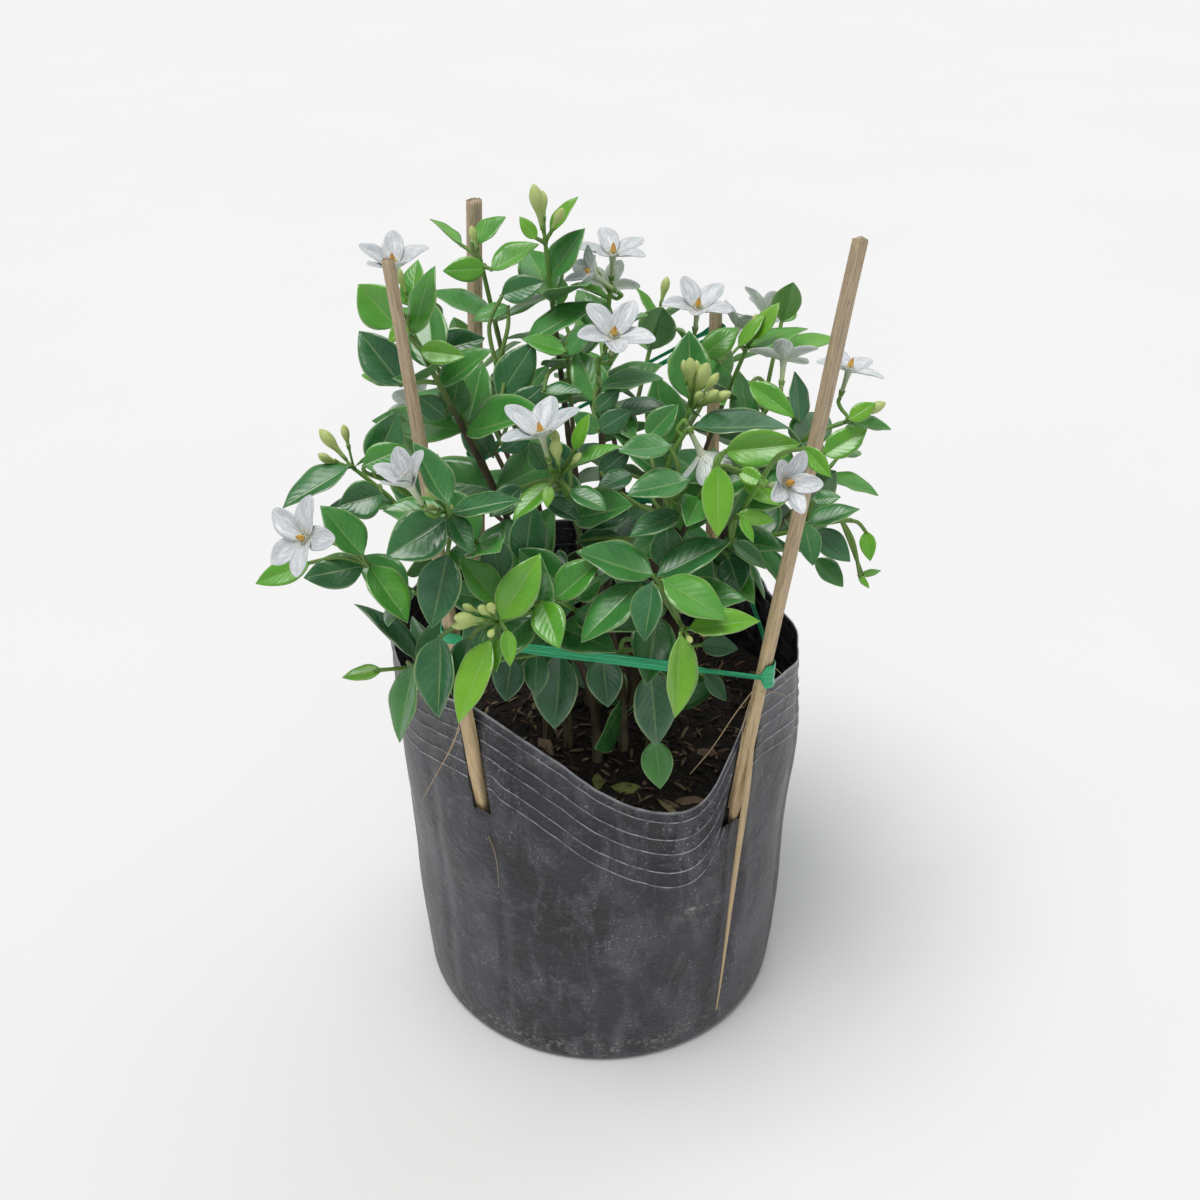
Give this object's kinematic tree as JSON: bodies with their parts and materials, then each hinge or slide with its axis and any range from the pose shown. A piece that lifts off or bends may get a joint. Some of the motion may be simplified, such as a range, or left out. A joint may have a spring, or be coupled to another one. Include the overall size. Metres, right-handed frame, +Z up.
{
  "type": "potted water jasmine",
  "caption": "Bushy water jasmine with white flowers, tied to bamboo stakes, standing in a soil-filled black film grow bag.",
  "frame": {"origin": "middle of the bag's flat base, on the floor", "axes": "+Z up, -Y towards the front where the rim sags, +X to the right seen from the front"},
  "size_m": [0.2807, 0.3155, 0.4263],
  "materials": {
    "bag_film": "black polyethylene film, dusty, slight sheen",
    "potting_soil": "dark damp potting mix with wood chips",
    "bamboo": "weathered split bamboo",
    "green_tape": "thin green plastic tape",
    "leaf_green": "glossy leaf, bright green when young",
    "petal_white": "soft white petal",
    "stamen_orange": "orange-yellow stamens"
  },
  "bodies": {
    "root": {"grow_bag": "bag_film", "soil": "potting_soil", "stake_front_left": "bamboo", "stake_front_right": "bamboo", "stake_back_left": "bamboo", "stake_back_right": "bamboo", "tie_lower": "green_tape", "tie_upper": "green_tape", "leafy_stem_far_left": "leaf_green", "leafy_stem_left_stake": "leaf_green", "leafy_stem_left_front": "leaf_green", "leafy_stem_top_left": "leaf_green", "leafy_stem_top": "leaf_green", "leafy_stem_top_middle": "leaf_green", "leafy_stem_middle": "leaf_green", "leafy_stem_front": "leaf_green", "leafy_stem_top_right": "leaf_green", "leafy_stem_right_inner": "leaf_green", "leafy_stem_right_top": "leaf_green", "leafy_stem_far_right": "leaf_green", "leafy_stem_right_stake": "leaf_green", "leafy_stem_back_left": "leaf_green", "leafy_stem_back": "leaf_green", "leafy_stem_back_right": "leaf_green", "leafy_stem_back_far_right": "leaf_green", "bloom_left_stake": "petal_white", "bloom_top": "petal_white", "bloom_top_side": "petal_white", "bloom_upper_middle": "petal_white", "bloom_top_right": "petal_white", "bloom_right_back": "petal_white", "bloom_right_turned": "petal_white", "bloom_far_right": "petal_white", "bloom_middle": "petal_white", "bloom_left_cup": "petal_white", "bloom_far_left": "petal_white", "bloom_right_stake": "petal_white", "bloom_right_inner": "petal_white", "bloom_back_left": "petal_white", "bloom_back": "petal_white", "bloom_back_right": "petal_white", "stamens_left_stake": "stamen_orange", "stamens_top": "stamen_orange", "stamens_top_side": "stamen_orange", "stamens_upper_middle": "stamen_orange", "stamens_top_right": "stamen_orange", "stamens_right_back": "stamen_orange", "stamens_right_turned": "stamen_orange", "stamens_far_right": "stamen_orange", "stamens_middle": "stamen_orange", "stamens_left_cup": "stamen_orange", "stamens_far_left": "stamen_orange", "stamens_right_stake": "stamen_orange", "stamens_right_inner": "stamen_orange", "stamens_back_left": "stamen_orange", "stamens_back": "stamen_orange", "stamens_back_right": "stamen_orange"}
  },
  "joints": []
}
